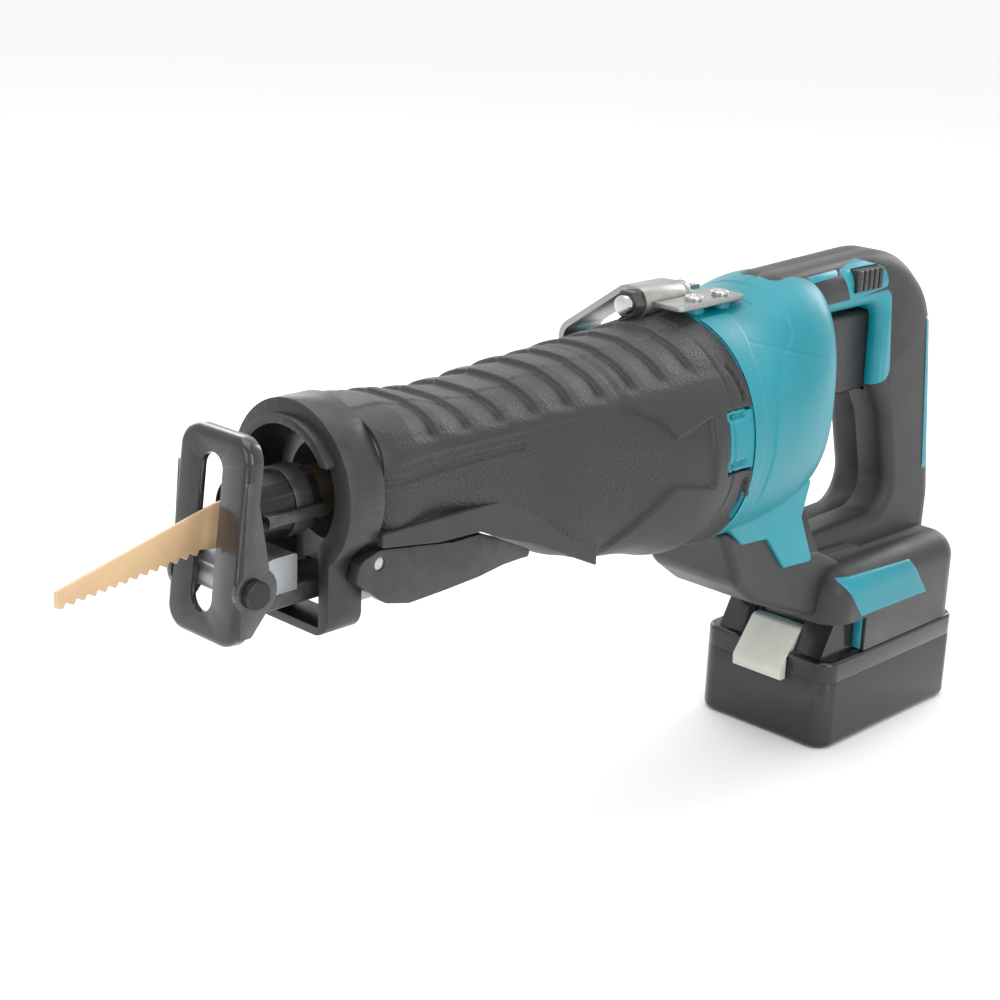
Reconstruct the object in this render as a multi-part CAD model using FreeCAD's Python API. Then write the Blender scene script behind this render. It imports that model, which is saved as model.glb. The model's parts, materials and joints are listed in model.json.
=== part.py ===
"""Cordless reciprocating saw with a D-handle and a slide-on battery, in millimetres.

Bench coordinates: x runs back from the shoe's face, y to the tool's right, z up from the plane
that the battery stands on. save() moves every piece to the row frame, whose origin is the middle
of the battery's flat base. The blade points to -x and the plunger's axis is level.
"""
import FreeCAD, Part
import math
import os

V = FreeCAD.Vector
os.makedirs("parts", exist_ok=True)

# ---- driving dimensions -------------------------------------------------------------------
AXIS_Z = 179.6          # plunger axis above the standing plane
STROKE = 32.0           # plunger travel
ROD_R = 6.75            # plunger rod
RUN_FIT = 0.05          # radial running fit of shafts in their bearings
MOVE_GAP = 0.4          # gap between pieces that slide or swing past each other
SKIN_GAP = 0.15         # gap between fixed pieces that lie against each other

SHOE_W = 38.8           # shoe across the tool
SHOE_H = 75.0           # shoe up and down
SHOE_RIM = 6.5          # depth of the shoe's turned-back rim
SHOE_T = 2.4            # shoe sheet
SHOE_CORNER = 9.0
SHOE_LEAN = 6.4         # degrees the shoe's top leans back
SHOE_FOOT = (0.0, 136.5)  # x, z of the shoe's lowest front edge
SLOT_W = 11.6           # blade slot in the shoe
SLOT_LOW = 10.0         # slot ends, measured up the shoe
SLOT_HIGH = 67.2
SHOE_PIN = (9.3, 156.5)  # x, z of the shoe's pivot
SHOE_PIN_R = 2.7
SHOE_PIN_HEAD_R = 5.2
SHOE_PIN_HEAD_T = 3.6
SHOE_LOBE_R = 9.0

STEM_W = 20.0           # shoe stem section
STEM_T = 8.0
STEM_LOW = 143.0        # underside of the stem
STEM_END = 112.0        # rear end of the stem
STEM_NOTCHES = 5        # stops that the lever's cam drops into
STEM_SCREW_X = 25.0     # screw that holds the bracket on the stem
STEM_SCREW_R = 2.5
STEM_GUIDE_W = 30.0     # channel for the stem, cast under the gear case
STEM_GUIDE_LOW = 139.6
STEM_GUIDE_END = STEM_END + 4.0
SHOE_TRAVEL = 30.0
BRACKET_W = 28.0        # block on the stem's front end
BRACKET_TOP = 164.6
BRACKET_END = 33.5

SLEEVE_R = 12.2         # blade clamp sleeve
SLEEVE_FRONT = 17.0
SLEEVE_END = 46.0
FIN_REACH = 16.4        # clamp fin, from the plunger axis
FIN_T = 4.4
COLLAR_R = 10.2         # cam collar behind the sleeve
COLLAR_END = 56.0

BLADE_T = 1.3
BLADE_SLIT = 0.5        # room behind the blade's tang
BLADE_TIP_X = -57.6
BLADE_TIP_TOP = 168.1
BLADE_TIP_LOW = 161.2
BLADE_BACK_TOP = 184.8
BLADE_BACK_LOW = 168.2
BLADE_BACK_X = 7.3
TOOTH_PITCH = 4.2
TOOTH_DEPTH = 1.9
TANG_H = 12.0
TANG_END = 42.0

GUARD_FRONT = 42.0      # front face of the guard ring
GUARD_BACK = 58.0
GUARD_R = 32.4          # guard ring outside
GUARD_Z = 183.8         # middle of the guard ring
MOUTH_R = 23.7          # opening that the clamp runs in
SKIRT_W = 42.0          # lower part of the guard round the stem
SKIRT_LOW = 131.0
PEAK_TIP = (38.1, 206.6)  # x, z of the peak over the opening

NOSE_R = 19.0           # cavity that the clamp backs into
NOSE_END = 92.0
BUSH_END = 124.0
BUSH_R = 12.0

CRANK_X = 184.0         # crank axis, vertical
CRANK_THROW = STROKE / 2.0
CRANK_PIN_R = 3.5
GEAR_R = 27.5
GEAR_LOW = 150.0
GEAR_TOP = 158.0
GEAR_TEETH = 45
GEAR_TOOTH_W = 1.0
GEAR_TOOTH_H = 1.6
PINION_TEETH = 9
PINION_TOOTH_W = 0.8
PINION_CORE_R = 3.9
PINION_TIP_R = 6.1
PINION_FRONT = 205.5
PINION_END = 212.5
CRANK_SHAFT_R = 8.0
CRANK_BEARING_R = 16.0
CRANK_BEARING_LOW = 136.6
CRANK_BEARING_TOP = 146.6
CASE_SCREWS = [(150.0, 28.0), (150.0, -28.0), (226.0, 34.5), (226.0, -34.5)]  # x, y
CASE_SCREW_R = 2.0
YOKE_W = 46.0
YOKE_L = 15.0
YOKE_LOW = 172.6
YOKE_TOP = 187.0

MOTOR_Z = 165.0         # motor axis
SHAFT_R = 4.0
STATOR_R = 31.0
STATOR_BORE_R = 17.0
STATOR_FRONT = 262.0
STATOR_END = 298.0
ROTOR_R = 16.3
FAN_R = 33.0
FAN_FRONT = 303.0
FAN_END = 312.0
MOTOR_BEARING_R = 10.5

BOOT_T = 3.6            # rubber boot wall
CASE_T = 3.6            # gear case wall
CASE_SPLIT_Z = 179.6    # joint between gear case and its cover
BOOT_FRONT = GUARD_BACK + SKIN_GAP
BOOT_END = 252.0
HOUSING_FRONT = 244.0
HOUSING_END = 333.0
HOUSING_T = 2.8
SPIGOT_END = BOOT_END + SKIN_GAP
SCREW_R = 1.9           # screws that join the two housing halves
BOSS_R = 4.2
# x, z and half length of each screw boss
HOUSING_SCREWS = [(279.0, 205.0, 28.0), (279.0, 129.5, 24.0), (312.0, 216.0, 24.0), (333.0, 88.0, 19.5),
                  (396.0, 218.0, 13.5), (428.0, 160.0, 13.5), (436.0, 112.0, 13.5), (436.0, 74.0, 33.6)]

HANDLE_W = 35.0         # D-handle across the tool
SKIN_T = 2.2            # soft skin over the handle
CORE_T = 2.6            # nylon wall under it
HANDLE_ROUND = 12.0     # radius along the handle's edges
BASE_W = 75.0           # base over the battery
BASE_FRONT = 341.0
BASE_REAR = 448.0
BASE_LOW = 45.0
BASE_SHELF = 62.2       # underside of the base over the battery's rails
BASE_TOP = 88.0
BASE_CORNER = 14.0
BASE_SKIRT_FRONT = 367.0
CHIN_W = 46.0

BATTERY_L = 111.4
BATTERY_W = 75.0
BATTERY_FRONT = 338.3
BATTERY_SEAM = 34.0
BATTERY_SHOULDER = 44.4
BATTERY_RAIL_TOP = 61.6
BATTERY_RAIL_W = 60.0
BATTERY_CORNER = 9.0
BATTERY_WALL = 2.2
BATTERY_PULL = 96.0
BUTTON_W = 28.0
BUTTON_BACK = 353.0
BUTTON_DROP = 4.0
CELL_R = 9.1            # five by two round cells
CELL_L = 65.0
CELL_PITCH = 18.3

TRIGGER_FRONT = 352.0
TRIGGER_BACK = 385.0
TRIGGER_LOW = 164.5
TRIGGER_TOP = 203.5
TRIGGER_W = 19.0
TRIGGER_PULL = 8.0
LOCK_X = 371.0          # lock-off button
LOCK_Z = 221.0
LOCK_L = 20.0
LOCK_H = 10.0
LOCK_PUSH = 4.0
LOCK_PROUD = 2.0

TERMINALS_Y = (-12.0, 12.0)
TERMINAL_FRONT = 404.0
TERMINAL_END = 418.0

HOOK_Y = 9.0            # hook tube axis
HOOK_Z = 223.0
HOOK_R = 6.6
HOOK_BOLT_R = 4.0
HOOK_FRONT = 238.0
HOOK_END = 264.0
HOOK_T = 2.6
HOOK_PLATE_LOW = 222.2
HOOK_PLATE_T = 2.0
HOOK_OUT = 52.3         # outer face of the folded hook
HOOK_SCREWS = [(258.5, -6.0), (276.0, -6.0)]  # x, y
HOOK_SCREW_R = 1.8

LEVER_PIVOT = (61.1, 157.5)
LEVER_PIN_R = 2.5
LEVER_IN = 22.0         # inside and outside of the lever's cheeks
LEVER_OUT = 27.0

ORIGIN = V(-(BATTERY_FRONT + BATTERY_L / 2.0), 0, 0)


# ---- shape helpers ------------------------------------------------------------------------
def box(x0, x1, y0, y1, z0, z1):
    return Part.makeBox(x1 - x0, y1 - y0, z1 - z0, V(x0, y0, z0))


def rod_x(x0, x1, r, y=0.0, z=AXIS_Z):
    return Part.makeCylinder(r, x1 - x0, V(x0, y, z), V(1, 0, 0))


def rod_y(y0, y1, r, x, z):
    return Part.makeCylinder(r, y1 - y0, V(x, y0, z), V(0, 1, 0))


def rod_z(z0, z1, r, x, y=0.0):
    return Part.makeCylinder(r, z1 - z0, V(x, y, z0), V(0, 0, 1))


def union(shapes):
    whole = shapes[0]
    for shape in shapes[1:]:
        whole = whole.fuse(shape)
    merged = whole.removeSplitter()
    return merged if merged.isValid() else whole


def rounded_wire(corners, place):
    """Closed wire through (a, b, radius) corners; place(a, b) gives the point in space."""
    edges = []
    starts, ends = [], []
    count = len(corners)
    for i, (a, b, r) in enumerate(corners):
        pa, pb, _ = corners[i - 1]
        na, nb, _ = corners[(i + 1) % count]
        back = V(pa - a, pb - b, 0)
        ahead = V(na - a, nb - b, 0)
        corner = V(a, b, 0)
        if r <= 0:
            starts.append(corner)
            ends.append(corner)
            edges.append(None)
            continue
        half = back.getAngle(ahead) / 2.0
        reach = r / math.tan(half)
        back.normalize()
        ahead.normalize()
        first = corner + back * reach
        last = corner + ahead * reach
        inward = (back + ahead).normalize()
        middle = corner + inward * (r / math.sin(half) - r)
        starts.append(first)
        ends.append(last)
        edges.append(Part.Arc(place(first.x, first.y), place(middle.x, middle.y),
                              place(last.x, last.y)).toShape())
    wires = []
    for i in range(count):
        if edges[i]:
            wires.append(edges[i])
        a, b = ends[i], starts[(i + 1) % count]
        if (a - b).Length > 1e-4:
            wires.append(Part.makeLine(place(a.x, a.y), place(b.x, b.y)))
    return Part.Wire(wires)


def slab(corners, y0, y1):
    """A side outline of (x, z, radius) corners, extruded across the tool."""
    wire = rounded_wire(corners, lambda a, b: V(a, y0, b))
    return Part.Face(wire).extrude(V(0, y1 - y0, 0))


def tile(corners, z0, z1):
    """A plan outline of (x, y, radius) corners, extruded upwards."""
    wire = rounded_wire(corners, lambda a, b: V(a, b, z0))
    return Part.Face(wire).extrude(V(0, 0, z1 - z0))


def plate_x(corners, x0, x1):
    """A front outline of (y, z, radius) corners, extruded along the tool."""
    wire = rounded_wire(corners, lambda a, b: V(x0, a, b))
    return Part.Face(wire).extrude(V(x1 - x0, 0, 0))


def rectangle(a0, a1, b0, b1, r):
    return [(a0, b0, r), (a1, b0, r), (a1, b1, r), (a0, b1, r)]


def soften(shape, radius, pick):
    """Fillet the edges that pick(edge) chooses."""
    edges = [e for e in shape.Edges if pick(e)]
    return shape.makeFillet(radius, edges) if edges else shape


def at_side(y, tol=0.01):
    """Chooser for edges that lie wholly at |y|."""
    def pick(edge):
        b = edge.BoundBox
        return abs(abs(b.YMin) - y) < tol and abs(abs(b.YMax) - y) < tol and b.YLength < tol
    return pick


def oval(x, half_w, low, high, power, points=28):
    """Closed smooth section across the tool at x."""
    mid, half_h = (low + high) / 2.0, (high - low) / 2.0
    ring = []
    for i in range(points):
        t = 2.0 * math.pi * i / points
        c, s = math.cos(t), math.sin(t)
        ring.append(V(x, half_w * math.copysign(abs(c) ** (2.0 / power), c),
                      mid + half_h * math.copysign(abs(s) ** (2.0 / power), s)))
    curve = Part.BSplineCurve()
    curve.interpolate(ring, PeriodicFlag=True)
    return Part.Wire(curve.toShape())


def lofted(sections, inset):
    """Solid through (x, half width, low, high, squareness) sections, drawn in by inset."""
    wires = [oval(x, w - inset, low + inset, high - inset, power) for x, w, low, high, power in sections]
    return Part.makeLoft(wires, True, False)


def half(shape, side):
    """The part of a shape on one side of the tool's middle plane."""
    y0, y1 = (-200, 0) if side < 0 else (0, 200)
    return shape.common(box(-200, 600, y0, y1, -50, 400))


def save(name, shape):
    piece = shape.copy()
    piece.translate(ORIGIN)
    if not piece.isValid():
        print("not valid:", name)
    piece.exportStep("parts/%s.step" % name)
    b = shape.BoundBox
    print("%-22s solids %d  vol %9.0f  x %.1f..%.1f y %.1f..%.1f z %.1f..%.1f" % (
        name, len(shape.Solids), shape.Volume, b.XMin, b.XMax, b.YMin, b.YMax, b.ZMin, b.ZMax))


# ---- shoe ---------------------------------------------------------------------------------
def on_shoe(shape):
    """From the flat shoe (x back, y across, z up from its foot) to its lean on the tool."""
    shape.rotate(V(0, 0, 0), V(0, 1, 0), SHOE_LEAN)
    shape.translate(V(SHOE_FOOT[0], 0, SHOE_FOOT[1]))
    return shape


def shoe_plate():
    w = SHOE_W / 2.0
    dish = plate_x(rectangle(-w, w, 0, SHOE_H, SHOE_CORNER), 0, SHOE_RIM)
    dish = soften(dish, 3.0, lambda e: e.BoundBox.XMax < 0.01)
    t = SHOE_T
    inner = plate_x(rectangle(t - w, w - t, t, SHOE_H - t, SHOE_CORNER - t), t, SHOE_RIM + 1)
    slot = plate_x(rectangle(-SLOT_W / 2, SLOT_W / 2, SLOT_LOW, SLOT_HIGH, SLOT_W / 2 - 0.1), -1, t + 1)
    dish = on_shoe(dish.cut(inner).cut(slot))
    px, pz = SHOE_PIN
    ears = []
    for side in (-1, 1):
        y0, y1 = sorted((side * (w - t), side * w))
        lobe = rod_y(y0, y1, SHOE_LOBE_R, px + 1.5, pz)
        web = slab([(px - 6.2, pz - 16, 0), (px - 1, pz - 16, 0), (px + 6, pz - 8, 0),
                    (px + 7, pz + 8, 0), (px + 1.5, pz + 40, 0), (px - 2.0, pz + 40, 0)], y0, y1)
        ears.append(lobe.fuse(web))
    whole = union([dish] + ears)
    return whole.cut(rod_y(-w - 1, w + 1, SHOE_PIN_R + RUN_FIT, px, pz))


def shoe_pivot_pin():
    px, pz = SHOE_PIN
    w = SHOE_W / 2.0
    pin = rod_y(-w - SHOE_PIN_HEAD_T, w + SHOE_PIN_HEAD_T, SHOE_PIN_R, px, pz)
    heads = []
    for side in (-1, 1):
        y0, y1 = sorted((side * (w + MOVE_GAP / 2), side * (w + SHOE_PIN_HEAD_T)))
        head = rod_y(y0, y1, SHOE_PIN_HEAD_R, px, pz)
        heads.append(soften(head, 0.9, at_side(w + SHOE_PIN_HEAD_T)))
    return union([pin] + heads)


def shoe_bracket():
    px, pz = SHOE_PIN
    w = BRACKET_W / 2.0
    eye_r = 4.2
    block = slab([(px + 1, pz - eye_r, 0), (px + 7, STEM_LOW + STEM_T, 1.5), (BRACKET_END, STEM_LOW + STEM_T, 0),
                  (BRACKET_END, BRACKET_TOP, 1.2), (px + 13, BRACKET_TOP, 3), (px + 1, pz + eye_r, 0)], -w, w)
    eye = rod_y(-w, w, eye_r, px, pz)
    whole = union([block, eye])
    whole = whole.cut(rod_z(0, BRACKET_TOP - 3.0, STEM_SCREW_R, STEM_SCREW_X))
    return whole.cut(rod_y(-w - 1, w + 1, SHOE_PIN_R, px, pz))


def shoe_stem():
    w = STEM_W / 2.0
    bar = box(SHOE_PIN[0] + 7.5, STEM_END, -w, w, STEM_LOW, STEM_LOW + STEM_T)
    bar = soften(bar, 1.5, lambda e: e.BoundBox.XLength > 50)
    for i in range(STEM_NOTCHES):
        x = STEM_END - SHOE_TRAVEL - 8.0 + i * SHOE_TRAVEL / (STEM_NOTCHES - 1)
        bar = bar.cut(box(x, x + 3.0, -w - 1, w + 1, STEM_LOW - 1, STEM_LOW + 1.4))
    return bar.cut(rod_z(STEM_LOW - 1, STEM_LOW + STEM_T + 1, STEM_SCREW_R, STEM_SCREW_X))


def stem_screw():
    shank = rod_z(STEM_LOW - 2.6, BRACKET_TOP - 3.0, STEM_SCREW_R, STEM_SCREW_X)
    head = rod_z(STEM_LOW - 2.6, STEM_LOW, STEM_SCREW_R + 2.1, STEM_SCREW_X)
    socket = rod_z(STEM_LOW - 3.6, STEM_LOW - 1.0, 2.0, STEM_SCREW_X)
    return union([shank, head]).cut(socket)


# ---- shoe lock lever ----------------------------------------------------------------------
def shoe_lever():
    px, pz = LEVER_PIVOT
    cheek = [(px - 11, pz - 5, 2.5), (px - 9, pz + 2.5, 4), (px, pz + 5.2, 5), (98, 157.4, 8),
             (113, 157.4, 6), (124, 152.8, 6), (140, 145.2, 1.2), (139.6, 142.4, 1.2),
             (128, 142.6, 8), (112, 140.4, 8), (94, 139.4, 8), (76, 138.8, 6), (px + 3, 141.6, 8)]
    bar = [(119, 141.4, 0), (124, 142.2, 3), (134.5, 142.5, 1), (134.5, 145.8, 1), (119, 146.4, 0)]
    whole = union([slab(cheek, -LEVER_OUT, -LEVER_IN), slab(cheek, LEVER_IN, LEVER_OUT),
                   slab(bar, -LEVER_OUT, LEVER_OUT)])
    return whole.cut(rod_y(-40, 40, LEVER_PIN_R + RUN_FIT, px, pz))


def lever_pin():
    px, pz = LEVER_PIVOT
    return rod_y(-LEVER_OUT + 0.4, LEVER_OUT - 0.4, LEVER_PIN_R, px, pz)


# ---- blade, clamp and plunger ---------------------------------------------------------------
def blade_outline():
    """Blade seen from the side, its teeth cut into the lower edge, the tang at the back."""
    slope = (BLADE_BACK_LOW - BLADE_TIP_LOW) / (BLADE_BACK_X - BLADE_TIP_X)
    first = BLADE_TIP_X + 4.0
    count = int((BLADE_BACK_X - 4.0 - first) / TOOTH_PITCH)

    def low(x):
        return BLADE_TIP_LOW + slope * (x - BLADE_TIP_X)

    points = [(BLADE_TIP_X, BLADE_TIP_LOW + 1.0), (BLADE_TIP_X, BLADE_TIP_TOP),
              (BLADE_BACK_X, BLADE_BACK_TOP), (SLEEVE_FRONT - 1.0, AXIS_Z + TANG_H / 2),
              (TANG_END, AXIS_Z + TANG_H / 2), (TANG_END, AXIS_Z - TANG_H / 2),
              (SLEEVE_FRONT - 1.0, AXIS_Z - TANG_H / 2), (BLADE_BACK_X + 2.0, low(BLADE_BACK_X))]
    for i in range(count, 0, -1):
        x = first + i * TOOTH_PITCH
        points.append((x, low(x) + TOOTH_DEPTH))
        points.append((x - TOOTH_PITCH * 0.25, low(x)))
        points.append((x - TOOTH_PITCH * 0.42, low(x)))
    points.append((first, low(first) + TOOTH_DEPTH))
    points.append((first - 1.2, low(first)))
    return points


def saw_blade():
    corners = [(x, z, 0) for x, z in blade_outline()]
    return slab(corners, -BLADE_T / 2, BLADE_T / 2)


def blade_clamp_sleeve():
    body = rod_x(SLEEVE_FRONT, SLEEVE_END, SLEEVE_R)
    body = soften(body, 1.6, lambda e: e.BoundBox.XMax < SLEEVE_FRONT + 0.01)
    ridge = rod_x(SLEEVE_END - 12, SLEEVE_END - 4, SLEEVE_R + 0.9)
    fin = box(SLEEVE_FRONT + 2, SLEEVE_END, -FIN_REACH, 0, AXIS_Z - 3.0, AXIS_Z - 3.0 + FIN_T)
    fin = soften(fin, 1.4, lambda e: e.BoundBox.XLength > 20 and e.BoundBox.YMax < -FIN_REACH + 0.01)
    whole = union([body, ridge, fin])
    bore = rod_x(SLEEVE_FRONT - 1, SLEEVE_END + 1, ROD_R + RUN_FIT)
    return whole.cut(bore)


def clamp_cam_collar():
    ring = rod_x(SLEEVE_END + MOVE_GAP / 2, COLLAR_END, COLLAR_R)
    ring = soften(ring, 1.4, lambda e: e.BoundBox.XMin > COLLAR_END - 0.01)
    return ring.cut(rod_x(SLEEVE_END - 1, COLLAR_END + 1, ROD_R + RUN_FIT))


def plunger_rod():
    front = SLEEVE_FRONT + 2.0
    rod = rod_x(front, CRANK_X - CRANK_THROW - YOKE_L / 2, ROD_R)
    rod = soften(rod, 1.0, lambda e: e.BoundBox.XMax < front + 0.01)
    slit = box(front - 1, TANG_END + BLADE_SLIT, -BLADE_T / 2 - 0.15, BLADE_T / 2 + 0.15, AXIS_Z - 20, AXIS_Z + 20)
    return rod.cut(slit)


def plunger_yoke():
    x = CRANK_X - CRANK_THROW
    body = box(x - YOKE_L / 2, x + YOKE_L / 2, -YOKE_W / 2, YOKE_W / 2, YOKE_LOW, YOKE_TOP)
    body = soften(body, 2.0, lambda e: e.BoundBox.ZLength > 10)
    track = box(x - CRANK_PIN_R - 0.6, x + CRANK_PIN_R + 0.6, -CRANK_THROW - 4.5, CRANK_THROW + 4.5,
                YOKE_LOW - 1, YOKE_LOW + 9)
    return body.cut(track)


# ---- gear case ----------------------------------------------------------------------------
# x, half width, lowest, highest, squareness
BOOT_SECTIONS = [(58.0, 31.5, 164.0, 213.6, 3.0), (80.0, 32.5, 161.6, 213.0, 3.0),
                 (105.0, 33.0, 159.4, 209.8, 3.0), (125.0, 34.5, 153.5, 209.6, 2.9),
                 (142.0, 36.5, 144.6, 211.4, 2.7), (160.0, 40.0, 132.5, 213.4, 2.5),
                 (184.0, 43.5, 126.3, 214.4, 2.3), (212.0, 46.5, 121.5, 215.4, 2.2),
                 (234.0, 48.2, 118.0, 217.6, 2.1), (252.0, 48.6, 115.8, 219.6, 2.1)]


def boot_body(inset, x0, x1):
    """The boot's outer form, drawn in by inset and kept between two stations."""
    return lofted(BOOT_SECTIONS, inset).common(box(x0, x1, -80, 80, 50, 300))


def stem_guide(grow=0.0):
    w = STEM_GUIDE_W / 2.0 + grow
    return box(GUARD_BACK + SKIN_GAP, STEM_GUIDE_END, -w, w, STEM_GUIDE_LOW - grow, 168.0)


def gear_case_whole():
    gap = BOOT_T + SKIN_GAP
    outer = boot_body(gap, BOOT_FRONT, HOUSING_FRONT - SKIN_GAP)
    outer = union([outer, stem_guide()])
    chamber = boot_body(gap + CASE_T, BUSH_END + 4, HOUSING_FRONT - 2 * CASE_T)
    whole = outer.cut(chamber)
    whole = whole.cut(rod_x(BOOT_FRONT - 1, NOSE_END, NOSE_R))
    whole = whole.cut(rod_x(NOSE_END - 1, BUSH_END + 5, BUSH_R))
    channel = box(BOOT_FRONT - 1, STEM_END + 0.6, -STEM_W / 2 - 0.3, STEM_W / 2 + 0.3,
                  STEM_LOW - 0.3, STEM_LOW + STEM_T + 0.3)
    whole = whole.cut(channel)
    whole = whole.cut(rod_y(-40, 40, LEVER_PIN_R, *LEVER_PIVOT))
    seat = rod_z(CRANK_BEARING_LOW - 0.2, CRANK_BEARING_TOP - 0.5, CRANK_BEARING_R + 3.6, CRANK_X)
    whole = union([whole, seat])
    whole = whole.cut(rod_z(CRANK_BEARING_LOW, 200, CRANK_BEARING_R, CRANK_X))
    return whole.cut(rod_x(HOUSING_FRONT - 2 * CASE_T - 1, HOUSING_FRONT + 1, MOTOR_BEARING_R, 0, MOTOR_Z))


def case_bosses(z0, z1):
    """Screw bosses, each with a web out to the case wall."""
    pieces = []
    for x, y in CASE_SCREWS:
        y0, y1 = sorted((y, y + math.copysign(5.5, y)))
        pieces.append(rod_z(z0, z1, 4.2, x, y))
        pieces.append(box(x - 1.5, x + 1.5, y0, y1, z0, z1 - 4.0))
    return union(pieces)


def gear_case_pieces():
    whole = gear_case_whole()
    bosses = case_bosses(CASE_SPLIT_Z - 14, CASE_SPLIT_Z + 10)
    whole = whole.fuse(bosses)
    for x, y in CASE_SCREWS:
        whole = whole.cut(rod_z(CASE_SPLIT_Z - 12, CASE_SPLIT_Z + 60, CASE_SCREW_R, x, y))
        whole = whole.cut(rod_z(CASE_SPLIT_Z + 6, CASE_SPLIT_Z + 60, 3.9, x, y))
    lower = whole.common(box(0, 400, -90, 90, 0, CASE_SPLIT_Z))
    upper = whole.common(box(0, 400, -90, 90, CASE_SPLIT_Z, 400))
    return lower, upper


def gear_case_screws():
    screws = []
    for x, y in CASE_SCREWS:
        shank = rod_z(CASE_SPLIT_Z - 11, CASE_SPLIT_Z + 6, CASE_SCREW_R, x, y)
        head = rod_z(CASE_SPLIT_Z + 6, CASE_SPLIT_Z + 9.5, 3.6, x, y)
        screws.append(shank.fuse(head).cut(rod_z(CASE_SPLIT_Z + 7.5, CASE_SPLIT_Z + 11, 1.7, x, y)))
    return Part.makeCompound(screws)


def plunger_bush():
    return rod_x(NOSE_END + 8, BUSH_END + 4, BUSH_R).cut(rod_x(0, 300, ROD_R + RUN_FIT))


def rod_seal():
    ring = rod_x(NOSE_END, NOSE_END + 8, BUSH_R)
    return ring.cut(rod_x(0, 300, ROD_R + 0.09))


def crank_bearing():
    ring = rod_z(CRANK_BEARING_LOW, CRANK_BEARING_TOP, CRANK_BEARING_R, CRANK_X)
    return ring.cut(rod_z(0, 300, CRANK_SHAFT_R + RUN_FIT, CRANK_X))


def crank_gear():
    disc = rod_z(GEAR_LOW, GEAR_TOP, GEAR_R, CRANK_X)
    hub = rod_z(CRANK_BEARING_LOW + 0.4, GEAR_LOW, CRANK_SHAFT_R, CRANK_X)
    whole = union([disc, hub])
    for i in range(GEAR_TEETH):
        angle = 360.0 * (i + 0.5) / GEAR_TEETH
        tooth = box(CRANK_X + GEAR_R - 5.0, CRANK_X + GEAR_R, -GEAR_TOOTH_W / 2, GEAR_TOOTH_W / 2,
                    GEAR_TOP - 0.5, GEAR_TOP + GEAR_TOOTH_H)
        tooth.rotate(V(CRANK_X, 0, 0), V(0, 0, 1), angle)
        whole = whole.fuse(tooth)
    return whole.cut(rod_z(GEAR_LOW - 1, 200, CRANK_PIN_R, CRANK_X - CRANK_THROW))


def crank_pin():
    return rod_z(GEAR_LOW, YOKE_LOW - 0.6, CRANK_PIN_R, CRANK_X - CRANK_THROW)


# ---- motor --------------------------------------------------------------------------------
def motor_pinion():
    whole = rod_x(PINION_FRONT, PINION_END + 8, PINION_CORE_R, 0, MOTOR_Z)
    for i in range(PINION_TEETH):
        tooth = box(PINION_FRONT, PINION_END, -PINION_TOOTH_W / 2, PINION_TOOTH_W / 2,
                    MOTOR_Z - PINION_TIP_R, MOTOR_Z - 2.0)
        tooth.rotate(V(0, 0, MOTOR_Z), V(1, 0, 0), 360.0 * i / PINION_TEETH)
        whole = whole.fuse(tooth)
    return whole


def motor_shaft():
    return rod_x(PINION_END + 8, HOUSING_END - 14, SHAFT_R, 0, MOTOR_Z)


def rotor_core():
    core = rod_x(STATOR_FRONT - 2, STATOR_END + 2, ROTOR_R, 0, MOTOR_Z)
    whole = core.cut(rod_x(0, 400, SHAFT_R, 0, MOTOR_Z))
    return whole


def cooling_fan():
    disc = rod_x(FAN_FRONT, FAN_FRONT + 2, FAN_R, 0, MOTOR_Z)
    hub = rod_x(FAN_FRONT, FAN_END, 9.0, 0, MOTOR_Z)
    whole = union([disc, hub])
    for i in range(12):
        vane = box(FAN_FRONT + 1, FAN_END, -0.8, 0.8, MOTOR_Z + 8.0, MOTOR_Z + FAN_R - 1.0)
        vane.rotate(V(0, 0, MOTOR_Z), V(1, 0, 0), 30.0 * i)
        whole = whole.fuse(vane)
    return whole.cut(rod_x(0, 400, SHAFT_R, 0, MOTOR_Z))


def stator():
    ring = rod_x(STATOR_FRONT, STATOR_END, STATOR_R, 0, MOTOR_Z)
    whole = ring.cut(rod_x(0, 400, STATOR_BORE_R, 0, MOTOR_Z))
    for i in range(6):
        slot = box(STATOR_FRONT - 1, STATOR_END + 1, -3.2, 3.2, MOTOR_Z + STATOR_BORE_R + 2.0, MOTOR_Z + STATOR_R - 5)
        slot.rotate(V(0, 0, MOTOR_Z), V(1, 0, 0), 60.0 * i)
        whole = whole.cut(slot)
    return whole


def motor_bearing(x0, x1):
    ring = rod_x(x0, x1, MOTOR_BEARING_R, 0, MOTOR_Z)
    return ring.cut(rod_x(0, 400, SHAFT_R + RUN_FIT, 0, MOTOR_Z))


# ---- boot and front guard -------------------------------------------------------------------
def hook_trough(grow):
    return rod_x(HOOK_FRONT - 12, HOOK_END + 8, HOOK_R + grow, HOOK_Y, HOOK_Z)


def rubber_boot():
    whole = boot_body(0, BOOT_FRONT, BOOT_END).cut(boot_body(BOOT_T, BOOT_FRONT - 1, BOOT_END + 1))
    whole = whole.cut(stem_guide(0.4))
    whole = whole.cut(hook_trough(MOVE_GAP))
    solids = sorted(whole.Solids, key=lambda item: item.Volume)
    return solids[-1]


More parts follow.
